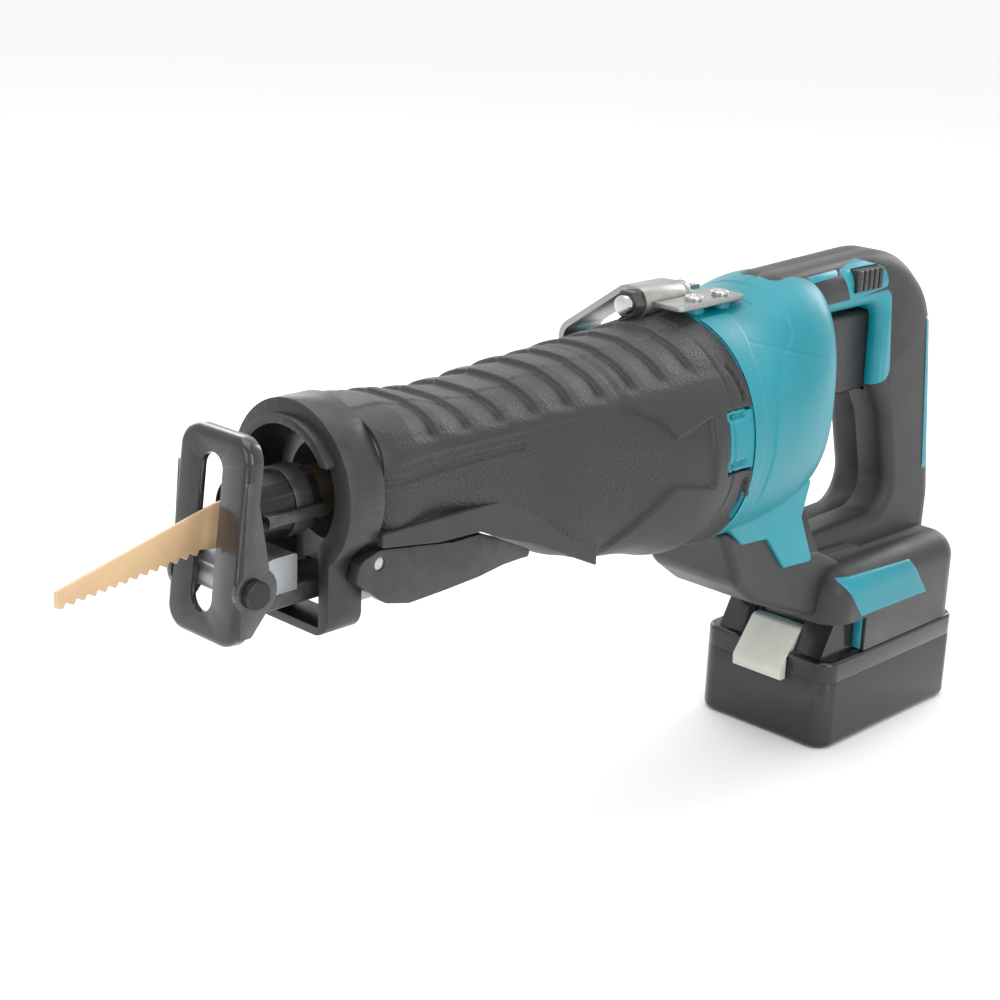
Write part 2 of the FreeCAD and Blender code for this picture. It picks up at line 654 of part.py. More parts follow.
def front_guard():
    w = SKIRT_W / 2.0
    ring = rod_x(GUARD_FRONT, GUARD_BACK, GUARD_R, 0, GUARD_Z)
    skirt = plate_x(rectangle(-w, w, SKIRT_LOW, GUARD_Z, 8.0), GUARD_FRONT, GUARD_BACK)
    tip_x, tip_z = PEAK_TIP
    peak = rod_x(tip_x, GUARD_FRONT + 4, MOUTH_R + 3.4, 0, GUARD_Z)
    peak = peak.common(box(tip_x - 1, GUARD_BACK, -24, 24, tip_z - 10, 300))
    whole = union([ring, skirt, peak])
    whole = whole.cut(rod_x(0, 100, MOUTH_R, 0, GUARD_Z))
    inner = BRACKET_W / 2.0 + 1.6
    whole = whole.cut(box(0, 100, -inner, inner, SKIRT_LOW + 3.4, GUARD_Z))
    for side in (-1, 1):
        y0, y1 = sorted((side * (LEVER_IN - 0.8), side * (LEVER_OUT + 0.8)))
        whole = whole.cut(rod_y(y0, y1, 12.2, *LEVER_PIVOT))
    return whole


# ---- housing, handle and base ---------------------------------------------------------------
BARREL_SECTIONS = [(SPIGOT_END, 47.8, 117.0, 219.4, 2.1), (270.0, 47.2, 117.4, 219.8, 2.1),
                   (290.0, 46.0, 119.0, 222.0, 2.2), (308.0, 43.0, 123.0, 226.2, 2.4),
                   (322.0, 37.5, 129.0, 227.4, 2.6), (330.0, 31.0, 136.0, 226.6, 2.8),
                   (HOUSING_END, 26.0, 142.0, 225.0, 3.0)]
SPIGOT_SECTIONS = [(HOUSING_FRONT, 43.4, 125.0, 213.0, 2.1), (SPIGOT_END + 2, 43.4, 125.0, 213.4, 2.1)]
LOOP_OUTLINE = [(300.0, 227.8, 15), (402.0, 231.4, 45), (433.0, 206.0, 40), (449.2, 104.0, 24),
                (448.0, 66.0, 15), (352.0, 66.0, 15), (300.0, 124.0, 15)]
LOOP_OPENING = [(334.0, 207.0, 9), (386.0, 207.0, 9), (387.0, 166.0, 10), (397.0, 150.0, 30),
                (409.5, 102.5, 14), (341.0, 101.0, 14), (327.0, 134.0, 14), (334.0, 154.0, 12)]
CHIN_OUTLINE = [(284.0, 124.0, 4), (338.0, 66.5, 3), (344.0, BASE_SHELF, 0), (376.0, BASE_SHELF, 0),
                (376.0, 92.0, 0), (344.0, 94.0, 0), (324.0, 128.0, 0)]
SURROUND_OUTLINE = [(329.0, 209.0, 3), (331.0, 212.5, 2), (392.0, 214.0, 6), (397.0, 171.0, 6),
                    (366.0, 160.0, 3), (329.0, 160.0, 0)]
BEZEL_OUTLINE = [(352.0, 226.6, 2), (370.0, 229.6, 6), (386.0, 225.0, 6), (389.0, 215.6, 2), (358.5, 212.4, 2)]
STRIPE_OUTLINE = [(330.0, 223.6, 0.8), (330.0, 226.2, 0.8), (352.0, 227.2, 0.8), (350.0, 224.6, 0.8)]


def drawn_in(corners, inset, y0, y1):
    """Side outline moved inwards (outwards if negative), extruded across the tool."""
    face = Part.Face(rounded_wire(corners, lambda a, b: V(a, y0, b)))
    if inset:
        face = face.makeOffset2D(-inset)
    return face.extrude(V(0, y1 - y0, 0))


def handle_loop(inset):
    w = HANDLE_W / 2.0 - inset
    outer = drawn_in(LOOP_OUTLINE, inset, -w, w)
    outer = soften(outer, HANDLE_ROUND - inset, at_side(w))
    hole = drawn_in(LOOP_OPENING, -inset, -w, w)
    whole = outer.cut(hole)
    hole_box = hole.BoundBox

    def on_hole(edge):
        b = edge.BoundBox
        inside = (b.XMin > hole_box.XMin - 0.1 and b.XMax < hole_box.XMax + 0.1
                  and b.ZMin > hole_box.ZMin - 0.1 and b.ZMax < hole_box.ZMax + 0.1)
        return inside and at_side(w)(edge)

    return soften(whole, 7.0 - inset, on_hole)


def base_block(inset):
    w = BASE_W / 2.0 - inset
    plan = rectangle(BASE_FRONT + inset, BASE_REAR - inset, -w, w, BASE_CORNER - inset)
    top = BASE_TOP - inset
    block = tile(plan, BASE_LOW, top)
    block = soften(block, 13.0 - inset, lambda e: e.BoundBox.ZMin > top - 0.01)
    block = block.cut(box(0, BASE_SKIRT_FRONT, -100, 100, 0, BASE_SHELF))
    return block


def rail_recess():
    w = BATTERY_RAIL_W / 2.0 + MOVE_GAP
    return box(0, BATTERY_FRONT + BATTERY_L - 4.6, -w, w, 0, BASE_SHELF)


def chin(inset):
    w = CHIN_W / 2.0 - inset
    return drawn_in(CHIN_OUTLINE, inset, -w, w)


def black_form(inset):
    """Handle, base and chin as one solid, drawn in by inset; the rails' recess stays full size."""
    whole = union([handle_loop(inset), base_block(inset), chin(inset)])
    return whole.cut(rail_recess())


def barrel(inset, x0=SPIGOT_END, x1=HOUSING_END):
    return lofted(BARREL_SECTIONS, inset).common(box(x0, x1, -90, 90, 0, 300))


def trigger_pocket(grow):
    w = TRIGGER_W / 2.0 + grow
    return box(TRIGGER_FRONT, 403.0, -w, w, TRIGGER_LOW - grow, TRIGGER_TOP + grow)


def lock_window(grow):
    return box(LOCK_X - LOCK_L / 2 - grow, LOCK_X + LOCK_L / 2 + grow, -60, 60,
               LOCK_Z - LOCK_H / 2 - grow, LOCK_Z + LOCK_H / 2 + grow)


def housing_whole():
    core = black_form(SKIN_T + 0.05)
    hollow = black_form(SKIN_T + CORE_T).cut(box(0, 600, -100, 100, 0, BASE_SHELF + CORE_T))
    shell = union([barrel(0), lofted(SPIGOT_SECTIONS, 0)])
    throat = lofted([(HOUSING_FRONT - 1,) + SPIGOT_SECTIONS[0][1:], (SPIGOT_END + 4,) + SPIGOT_SECTIONS[1][1:]],
                    HOUSING_T)
    room = union([barrel(HOUSING_T, SPIGOT_END + 3, HOUSING_END - HOUSING_T), throat])
    whole = union([shell, core])
    whole = whole.cut(room).cut(hollow)
    hook_lug = box(SPIGOT_END, HOOK_END + 10, HOOK_Y - 6, HOOK_Y + 6, HOOK_Z - HOOK_R - 4, HOOK_Z - HOOK_R + 0.6)
    whole = whole.fuse(hook_lug)
    ribs = []
    for x in (STATOR_FRONT + 4, STATOR_END - 7):
        ribs.append(barrel(HOUSING_T - 0.5, x, x + 3).cut(rod_x(0, 400, STATOR_R + 0.1, 0, MOTOR_Z)))
    seat = barrel(HOUSING_T - 0.5, HOUSING_END - 15, HOUSING_END - 11)
    ribs.append(seat.cut(rod_x(0, 400, MOTOR_BEARING_R + 0.03, 0, MOTOR_Z)))
    for rib in ribs:
        whole = whole.fuse(rib)
    for x, z, y in HOUSING_SCREWS:
        whole = whole.fuse(rod_y(-y, y, BOSS_R, x, z))
    for x, y in HOOK_SCREWS:
        whole = whole.fuse(rod_z(HOOK_PLATE_LOW - 11.0, HOOK_PLATE_LOW, HOOK_SCREW_R + 2.6, x, y))
    whole = whole.cut(hook_trough(MOVE_GAP))
    for x, y in HOOK_SCREWS:
        whole = whole.cut(rod_z(HOOK_PLATE_LOW - 10.0, HOOK_PLATE_LOW + 1, HOOK_SCREW_R, x, y))
    whole = whole.cut(trigger_pocket(MOVE_GAP)).cut(lock_window(MOVE_GAP))
    for x, z, y in HOUSING_SCREWS:
        whole = whole.cut(rod_y(-y + 2.0, 60, SCREW_R, x, z))
    whole = whole.cut(screw_wells(0))
    for y in TERMINALS_Y:
        whole = whole.cut(box(TERMINAL_FRONT - 0.6, TERMINAL_END + 0.6, y - 1.4, y + 1.4,
                              BASE_SHELF - 1, BASE_SHELF + CORE_T + 1))
    return whole


def screw_wells(grow):
    """Round wells in the right side that the screw heads sit at the bottom of."""
    return union([rod_y(y - 4.0, 60, BOSS_R - 0.9 + grow, x, z) for x, z, y in HOUSING_SCREWS])


def housing_screws():
    screws = []
    for x, z, y in HOUSING_SCREWS:
        shank = rod_y(-y + 3.0, y - 4.0, SCREW_R, x, z)
        head = rod_y(y - 4.0, y - 1.0, BOSS_R - 1.0, x, z)
        screws.append(shank.fuse(head).cut(rod_y(y - 2.6, y, 1.5, x, z)))
    return Part.makeCompound(screws)


# ---- controls and electrics -----------------------------------------------------------------
def trigger():
    w = TRIGGER_W / 2.0
    outline = [(TRIGGER_FRONT + 3, TRIGGER_TOP, 4), (TRIGGER_FRONT, 190, 14), (TRIGGER_FRONT + 1.5, 176, 14),
               (TRIGGER_FRONT + 8, TRIGGER_LOW, 5), (TRIGGER_BACK + 8, TRIGGER_LOW, 0),
               (TRIGGER_BACK + 8, TRIGGER_TOP, 0)]
    body = slab(outline, -w, w)
    body = soften(body, 3.0, lambda e: at_side(w)(e) and e.BoundBox.XMin < TRIGGER_BACK)
    return body.cut(rod_x(TRIGGER_BACK + 4, TRIGGER_BACK + 20, 4.2, 0, 186.0))


def coil(radius, wire_r, x0, x1, y, z, turns, axis):
    """Compression spring as one wire swept along a helix."""
    length = x1 - x0
    helix = Part.makeHelix(length / turns, length, radius)
    start = V(radius, 0, 0)
    section = Part.Wire(Part.Circle(start, V(0, 1, 0), wire_r).toShape())
    spring = Part.Wire(helix.Edges).makePipeShell([section], True, True)
    if axis == "x":
        spring.rotate(V(0, 0, 0), V(0, 1, 0), 90)
        spring.translate(V(x0, y, z))
    else:
        spring.translate(V(y, 0, x0))
    return spring


def trigger_spring():
    return coil(3.2, 0.45, TRIGGER_BACK + 4.6, 403.2, 0, 186.0, 5, "x")


def switch_module():
    body = box(404.0, 424.0, -10.5, 10.5, 170.0, 204.0)
    body = soften(body, 1.2, lambda e: e.BoundBox.ZLength > 20)
    lugs = [box(407.0 + 8 * i, 410.0 + 8 * i, -4, 4, 162.0, 170.0) for i in range(2)]
    return union([body] + lugs)


def lock_off_button():
    w = HANDLE_W / 2.0 + LOCK_PROUD
    body = box(LOCK_X - LOCK_L / 2, LOCK_X + LOCK_L / 2, -w, w, LOCK_Z - LOCK_H / 2, LOCK_Z + LOCK_H / 2)
    body = soften(body, 1.2, at_side(w))
    grooves = []
    for i in range(4):
        x = LOCK_X - 6.0 + 4.0 * i
        for side in (-1, 1):
            y0, y1 = sorted((side * (w - 0.7), side * (w + 1)))
            grooves.append(box(x - 0.6, x + 0.6, y0, y1, LOCK_Z - 8, LOCK_Z + 8))
    return body.cut(union(grooves))


def controller_box():
    return box(352.0, 392.0, -26.0, 26.0, 69.0, 81.0)


def terminal_block():
    floor = BASE_SHELF + CORE_T
    body = box(TERMINAL_FRONT - 6.0, TERMINAL_END + 12.0, -22.0, 22.0, floor + 0.6, floor + 10.0)
    blades = [box(TERMINAL_FRONT, TERMINAL_END, y - 0.5, y + 0.5, BASE_SHELF - 9.0, floor + 5.0)
              for y in TERMINALS_Y]
    return union([body] + blades)


# ---- hook -----------------------------------------------------------------------------------
def hook_bracket():
    low = HOOK_PLATE_LOW
    plate = tile([(241.0, -13.0, 3), (286.0, -13.0, 4), (286.0, 17.0, 4), (HOOK_END + MOVE_GAP, 17.0, 0),
                  (HOOK_END + MOVE_GAP, 1.0, 0), (241.0, 1.0, 1)], low, low + HOOK_PLATE_T)
    ear = rod_x(HOOK_END + MOVE_GAP, HOOK_END + 4.0, HOOK_R - 0.4, HOOK_Y, HOOK_Z)
    whole = union([plate, ear])
    whole = whole.cut(rod_x(0, 400, HOOK_BOLT_R, HOOK_Y, HOOK_Z))
    for x, y in HOOK_SCREWS:
        whole = whole.cut(rod_z(0, 400, HOOK_SCREW_R, x, y))
    return whole


def hook_arm():
    tube = rod_x(HOOK_FRONT, HOOK_END, HOOK_R, HOOK_Y, HOOK_Z)
    t = HOOK_T
    top = HOOK_Z + HOOK_R
    strap = plate_x([(HOOK_Y, top - t, 0), (HOOK_Y, top, 0), (HOOK_Y + 8, top, 8), (HOOK_OUT, 205.0, 9),
                     (HOOK_OUT, 150.0, 1), (HOOK_OUT - t, 150.0, 1), (HOOK_OUT - t, 203.4, 7),
                     (HOOK_Y + 7, top - t, 6)], HOOK_FRONT + 1, HOOK_END - 1)
    whole = union([tube, strap])
    return whole.cut(rod_x(0, 400, HOOK_BOLT_R + 0.08, HOOK_Y, HOOK_Z))


def hook_bolt():
    return rod_x(HOOK_FRONT - 9, HOOK_END + 6, HOOK_BOLT_R, HOOK_Y, HOOK_Z)


def hook_nut():
    hexagon = Part.makePolygon([V(HOOK_FRONT - 6, HOOK_Y + 6.4 * math.cos(math.radians(60 * i)),
                                  HOOK_Z + 6.4 * math.sin(math.radians(60 * i))) for i in range(7)])
    nut = Part.Face(Part.Wire(hexagon)).extrude(V(6 - MOVE_GAP, 0, 0))
    return nut.cut(rod_x(0, 400, HOOK_BOLT_R, HOOK_Y, HOOK_Z))


def hook_screws():
    top = HOOK_PLATE_LOW + HOOK_PLATE_T
    screws = []
    for x, y in HOOK_SCREWS:
        shank = rod_z(top - 11.0, top, HOOK_SCREW_R, x, y)
        head = soften(rod_z(top, top + 2.0, 4.0, x, y), 0.8, lambda e: e.BoundBox.ZMin > top + 1.9)
        screws.append(union([shank, head]).cut(rod_z(top + 1.0, top + 3.0, 1.6, x, y)))
    return Part.makeCompound(screws)


# ---- battery --------------------------------------------------------------------------------
def battery_plan(inset):
    w = BATTERY_W / 2.0 - inset
    return rectangle(BATTERY_FRONT + inset, BATTERY_FRONT + BATTERY_L - inset, -w, w, BATTERY_CORNER - inset)


def battery_lower_case():
    body = tile(battery_plan(0), 0, BATTERY_SEAM - SKIN_GAP / 2)
    body = soften(body, 3.5, lambda e: e.BoundBox.ZMax < 0.01)
    return body.cut(tile(battery_plan(BATTERY_WALL), BATTERY_WALL, BATTERY_SEAM + 1))


def battery_upper_case():
    rear = BATTERY_FRONT + BATTERY_L
    low = BATTERY_SEAM + SKIN_GAP / 2
    shoulder = tile(battery_plan(0), low, BATTERY_SHOULDER)
    shoulder = soften(shoulder, 2.0, lambda e: e.BoundBox.ZMin > BATTERY_SHOULDER - 0.01)
    w = BATTERY_RAIL_W / 2.0
    hump = slab([(BATTERY_FRONT + 0.4, low, 0), (BATTERY_FRONT + 0.4, low + 4, 2), (352.0, BATTERY_RAIL_TOP, 4),
                 (rear - 6.0, BATTERY_RAIL_TOP, 2), (rear - 6.0, low, 0)], -w, w)
    whole = union([shoulder, hump])
    t = BATTERY_WALL
    room = tile(battery_plan(t), low - 1, BATTERY_SHOULDER - t)
    hump_room = slab([(366.0, low - 1, 0), (366.0, BATTERY_RAIL_TOP - t, 0), (396.0, BATTERY_RAIL_TOP - t, 0),
                      (396.0, low - 1, 0)], -w + t, w - t)
    recess = box(BATTERY_FRONT - 9, BUTTON_BACK + MOVE_GAP, -BUTTON_W / 2 - MOVE_GAP, BUTTON_W / 2 + MOVE_GAP,
                 BATTERY_SEAM + 3.2, 80)
    pocket_floor = box(BATTERY_FRONT + 0.2, BUTTON_BACK + 1.9, -BUTTON_W / 2 - 2.6, BUTTON_W / 2 + 2.6, low, 58.0)
    whole = whole.cut(room.cut(pocket_floor)).cut(hump_room).cut(recess)
    for y in TERMINALS_Y:
        whole = whole.cut(box(TERMINAL_FRONT - 4.0, rear, y - 1.6, y + 1.6, 51.0, 80.0))
    return whole


def battery_button():
    w = BUTTON_W / 2.0
    outline = [(333.0, 36.5, 3), (347.0, 54.5, 3), (BUTTON_BACK, 54.5, 1), (BUTTON_BACK, 44.0, 1), (344.0, 42.0, 0),
               (BATTERY_FRONT - 0.5, 42.0, 0), (BATTERY_FRONT - 0.5, 31.0, 0.6), (333.6, 31.0, 1)]
    return slab(outline, -w, w)


def button_spring():
    return coil(2.6, 0.4, BATTERY_SEAM + 3.8, 41.4, 347.5, 0, 3, "z")


def battery_cells():
    cells = []
    for i in range(5):
        for j in range(2):
            x = BATTERY_FRONT + 25.4 + i * CELL_PITCH
            z = BATTERY_WALL + CELL_R + 0.6 + j * CELL_PITCH
            cells.append(rod_y(-CELL_L / 2, CELL_L / 2, CELL_R, x, z))
    return Part.makeCompound(cells)


def battery_terminals():
    clips = []
    for y in TERMINALS_Y:
        for side in (-1, 1):
            y0, y1 = sorted((y + side * 0.75, y + side * 1.5))
            clips.append(box(TERMINAL_FRONT, TERMINAL_END + 2.0, y0, y1, 51.4, 59.5))
    return Part.makeCompound(clips)


# ---- build ----------------------------------------------------------------------------------
save("shoe_plate", shoe_plate())
save("shoe_pivot_pin", shoe_pivot_pin())
save("shoe_bracket", shoe_bracket())
save("shoe_stem", shoe_stem())
save("stem_screw", stem_screw())
save("shoe_lever", shoe_lever())
save("lever_pin", lever_pin())
save("saw_blade", saw_blade())
save("blade_clamp_sleeve", blade_clamp_sleeve())
save("clamp_cam_collar", clamp_cam_collar())
save("plunger_rod", plunger_rod())
save("plunger_yoke", plunger_yoke())
case_lower, case_upper = gear_case_pieces()
save("gear_case", case_lower)
save("gear_case_cover", case_upper)
save("gear_case_screws", gear_case_screws())
save("plunger_bush", plunger_bush())
save("rod_seal", rod_seal())
save("crank_bearing", crank_bearing())
save("crank_gear", crank_gear())
save("crank_pin", crank_pin())
save("motor_pinion", motor_pinion())
save("motor_shaft", motor_shaft())
save("rotor_core", rotor_core())
save("cooling_fan", cooling_fan())
save("stator", stator())
save("front_bearing", motor_bearing(HOUSING_FRONT - 2 * CASE_T, HOUSING_FRONT - SKIN_GAP))
save("rear_bearing", motor_bearing(HOUSING_END - 16, HOUSING_END - 10))
save("rubber_boot", rubber_boot())
save("front_guard", front_guard())
housing = housing_whole()
skin = black_form(0).cut(black_form(SKIN_T)).cut(barrel(-SKIN_GAP)).cut(screw_wells(0.4))
bezel_patch = drawn_in(BEZEL_OUTLINE, 0, -60, 60)
surround_patch = drawn_in(SURROUND_OUTLINE, 0, -60, 60).cut(bezel_patch)
stripe_patch = drawn_in(STRIPE_OUTLINE, 0, -60, 60)
bezel = skin.common(bezel_patch).cut(lock_window(MOVE_GAP))
surround = skin.common(surround_patch).cut(trigger_pocket(MOVE_GAP))
stripes = skin.common(stripe_patch)
overmould = skin.cut(surround_patch).cut(bezel_patch).cut(stripe_patch)
overmould = overmould.cut(trigger_pocket(MOVE_GAP)).cut(lock_window(MOVE_GAP))
for side, word in ((-1, "left"), (1, "right")):
    save("housing_" + word, half(housing, side))
    save("overmould_" + word, half(overmould, side))
    save("trigger_surround_" + word, half(surround, side))
save("lock_off_bezels", bezel)
save("handle_stripes", stripes)
save("housing_screws", housing_screws())
save("trigger", trigger())
save("trigger_spring", trigger_spring())
save("switch_module", switch_module())
save("lock_off_button", lock_off_button())
save("controller_box", controller_box())
save("terminal_block", terminal_block())
save("hook_bracket", hook_bracket())
save("hook_arm", hook_arm())
save("hook_bolt", hook_bolt())
save("hook_nut", hook_nut())
save("hook_screws", hook_screws())
save("battery_lower_case", battery_lower_case())
save("battery_upper_case", battery_upper_case())
save("battery_button", battery_button())
save("button_spring", button_spring())
save("battery_cells", battery_cells())
save("battery_terminals", battery_terminals())
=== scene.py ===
"""Looks of the cordless reciprocating saw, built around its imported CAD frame."""

import json
import math

import bmesh
import bpy
import numpy as np
from mathutils import Matrix, Vector
from mathutils.bvhtree import BVHTree


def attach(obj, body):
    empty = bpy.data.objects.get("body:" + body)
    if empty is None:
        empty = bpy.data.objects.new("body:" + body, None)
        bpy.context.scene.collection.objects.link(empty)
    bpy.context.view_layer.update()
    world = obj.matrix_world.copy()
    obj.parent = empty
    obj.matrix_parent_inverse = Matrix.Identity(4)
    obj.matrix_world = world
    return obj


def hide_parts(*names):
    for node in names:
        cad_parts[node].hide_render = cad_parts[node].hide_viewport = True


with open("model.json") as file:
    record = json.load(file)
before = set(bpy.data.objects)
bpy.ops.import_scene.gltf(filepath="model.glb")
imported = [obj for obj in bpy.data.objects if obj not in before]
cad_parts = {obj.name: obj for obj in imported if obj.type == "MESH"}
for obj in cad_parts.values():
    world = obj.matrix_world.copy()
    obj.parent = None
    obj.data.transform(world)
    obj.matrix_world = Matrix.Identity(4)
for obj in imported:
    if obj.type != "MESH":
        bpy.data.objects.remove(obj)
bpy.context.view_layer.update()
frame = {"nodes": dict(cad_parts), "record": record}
nodes = frame["nodes"]

# ---- camera -------------------------------------------------------------------------------
# A portrait lens stands in front of the saw on its left side, a little above it, and leans
# slightly, so that the blade comes towards the viewer and the handle goes away.
YAW, PITCH, ROLL = math.radians(43.50), math.radians(18.11), math.radians(2.26)
camera = bpy.data.objects.new("camera", bpy.data.cameras.new("camera"))
bpy.context.scene.collection.objects.link(camera)
ahead = Vector((math.cos(YAW) * math.cos(PITCH), math.sin(YAW) * math.cos(PITCH), -math.sin(PITCH)))
level = Vector((math.sin(YAW), -math.cos(YAW), 0.0))
upward = level.cross(ahead)
right = level * math.cos(ROLL) + upward * math.sin(ROLL)
upward = upward * math.cos(ROLL) - level * math.sin(ROLL)
turn = Matrix((right, upward, -ahead)).transposed()
camera.matrix_world = Matrix.Translation((-0.7962, -0.5247, 0.4054)) @ turn.to_4x4()
camera.data.lens = 72.56
camera.data.sensor_width = 36.0
camera.data.clip_start = 0.05
bpy.context.scene.camera = camera


# ---- studio -------------------------------------------------------------------------------
# A pale sweep of paint under soft boxes: one large box overhead, one on each side and a
# narrow one from behind that draws the bright lines along the ribs and rims.
def softbox(name, place, aim, size, watts):
    data = bpy.data.lights.new(name, "AREA")
    data.shape = "RECTANGLE"
    data.size, data.size_y = size
    data.energy = watts
    lamp = bpy.data.objects.new(name, data)
    bpy.context.scene.collection.objects.link(lamp)
    lamp.location = place
    lamp.rotation_euler = (Vector(aim) - Vector(place)).to_track_quat("-Z", "Y").to_euler()


middle = (-0.03, 0.0, 0.14)
softbox("box_above", (-0.1, 0.1, 1.5), middle, (1.5, 1.1), 9)
softbox("box_left", (-0.5, -1.5, 0.75), middle, (0.7, 1.2), 8)
softbox("box_front", (-1.6, -0.1, 0.7), middle, (0.8, 0.9), 3)
softbox("box_right", (0.4, 1.5, 0.8), middle, (1.2, 0.9), 6)
softbox("box_back", (1.5, 0.1, 0.9), middle, (0.5, 1.0), 7)

paint = bpy.data.materials.new("studio_paint")
paint.use_nodes = True
shade = paint.node_tree.nodes["Principled BSDF"]
shade.inputs["Base Color"].default_value = (0.93, 0.93, 0.93, 1)
shade.inputs["Roughness"].default_value = 0.6
sweep = bpy.data.meshes.new("floor")
sweep.from_pydata([(-6, -6, 0), (6, -6, 0), (6, 6, 0), (-6, 6, 0)], [], [(0, 1, 2, 3)])
floor = bpy.data.objects.new("floor", sweep)
bpy.context.scene.collection.objects.link(floor)
floor.data.materials.append(paint)
world = bpy.data.worlds.new("studio")
world.use_nodes = True
world.node_tree.nodes["Background"].inputs["Color"].default_value = (1.0, 1.0, 1.0, 1)
world.node_tree.nodes["Background"].inputs["Strength"].default_value = 1.0
bpy.context.scene.world = world
bpy.context.scene.view_settings.view_transform = "Standard"


# ---- shared finishes ----------------------------------------------------------------------
# Moulded nylon, rubber and metal all share a fine surface grain, faint cloudiness from the
# mould or the hand, and edges that are rubbed a little brighter than the flats.
def group(name, inputs, outputs):
    tree = bpy.data.node_groups.new(name, "ShaderNodeTree")
    for label, value in inputs:
        socket = tree.interface.new_socket(label, in_out="INPUT", socket_type="NodeSocketFloat")
        socket.default_value = value
    for label in outputs:
        tree.interface.new_socket(label, in_out="OUTPUT", socket_type="NodeSocketFloat")
    return tree, tree.nodes.new("NodeGroupInput"), tree.nodes.new("NodeGroupOutput")


def node(tree, kind, settings=None, **sockets):
    """A shader node with its settings, its sockets given a value or linked to another's output."""
    made = tree.nodes.new(kind)
    for key, value in (settings or {}).items():
        setattr(made, key, value)
    for key, value in sockets.items():
        spot = made.inputs[int(key[1:]) if key[1:].isdigit() else key.replace("_", " ")]
        if isinstance(value, bpy.types.NodeSocket):
            tree.links.new(value, spot)
        else:
            spot.default_value = value
    return made


def build_grain():
    """Spark-eroded or leathery grain: Height for a bump, Speck for tiny colour changes."""
    tree, ins, outs = group("surface_grain", [("Size mm", 0.5), ("Leather", 0.0)], ["Height", "Speck"])
    place = node(tree, "ShaderNodeTexCoord").outputs["Object"]
    divided = node(tree, "ShaderNodeMath", {"operation": "DIVIDE"}, _0=1000.0, _1=ins.outputs["Size mm"])
    rate = divided.outputs[0]
    fine = node(tree, "ShaderNodeTexNoise", None, Vector=place, Scale=rate, Detail=3.0, Roughness=0.6)
    cells = node(tree, "ShaderNodeTexVoronoi", {"feature": "SMOOTH_F1"}, Vector=place, Scale=rate,
                 Smoothness=0.4)
    leather = node(tree, "ShaderNodeMix", {"data_type": "FLOAT"}, _0=ins.outputs["Leather"],
                   _2=fine.outputs["Fac"], _3=cells.outputs["Distance"])
    tree.links.new(leather.outputs[0], outs.inputs["Height"])
    tree.links.new(fine.outputs["Fac"], outs.inputs["Speck"])
    return tree


def build_cloud():
    """Slow cloudiness over a surface, from 0 to 1, with a few handling streaks."""
    tree, ins, outs = group("handling_cloud", [("Size mm", 40.0)], ["Cloud", "Streak"])
    place = node(tree, "ShaderNodeTexCoord").outputs["Object"]
    divided = node(tree, "ShaderNodeMath", {"operation": "DIVIDE"}, _0=1000.0, _1=ins.outputs["Size mm"])
    rate = divided.outputs[0]
    slow = node(tree, "ShaderNodeTexNoise", None, Vector=place, Scale=rate, Detail=4.0, Roughness=0.55)
    span = node(tree, "ShaderNodeMapRange", None, Value=slow.outputs["Fac"], From_Min=0.35, From_Max=0.68)
    stretched = node(tree, "ShaderNodeMapping", None, Vector=place)
    stretched.inputs["Scale"].default_value = (60.0, 900.0, 900.0)
    lines = node(tree, "ShaderNodeTexNoise", None, Vector=stretched.outputs[0], Scale=1.0, Detail=2.0)
    few = node(tree, "ShaderNodeMapRange", None, Value=lines.outputs["Fac"], From_Min=0.66, From_Max=0.78)
    tree.links.new(span.outputs[0], outs.inputs["Cloud"])
    tree.links.new(few.outputs[0], outs.inputs["Streak"])
    return tree


def build_rub():
    """Mask of outside edges that handling has rubbed, broken up by noise."""
    tree, ins, outs = group("rubbed_edges", [("Reach", 0.06), ("Patchiness", 0.6)], ["Mask"])
    sharp = node(tree, "ShaderNodeNewGeometry").outputs["Pointiness"]
    top = node(tree, "ShaderNodeMath", {"operation": "ADD"}, _0=0.51, _1=ins.outputs["Reach"]).outputs[0]
    edge = node(tree, "ShaderNodeMapRange", None, Value=sharp, From_Min=0.51, From_Max=top)
    place = node(tree, "ShaderNodeTexCoord").outputs["Object"]
    patch = node(tree, "ShaderNodeTexNoise", None, Vector=place, Scale=160.0, Detail=5.0)
    worn = node(tree, "ShaderNodeMapRange", None, Value=patch.outputs["Fac"], From_Min=0.35, From_Max=0.65)
    keep = node(tree, "ShaderNodeMix", {"data_type": "FLOAT"}, _0=ins.outputs["Patchiness"], _2=1.0,
                _3=worn.outputs[0])
    mask = node(tree, "ShaderNodeMath", {"operation": "MULTIPLY"}, _0=edge.outputs[0], _1=keep.outputs[0])
    tree.links.new(mask.outputs[0], outs.inputs["Mask"])
    return tree


GRAIN, CLOUD, RUB = build_grain(), build_cloud(), build_rub()


def placed(tree, which, **values):
    made = node(tree, "ShaderNodeGroup", {"node_tree": which})
    for key, value in values.items():
        made.inputs[key.replace("_", " ")].default_value = value
    return made


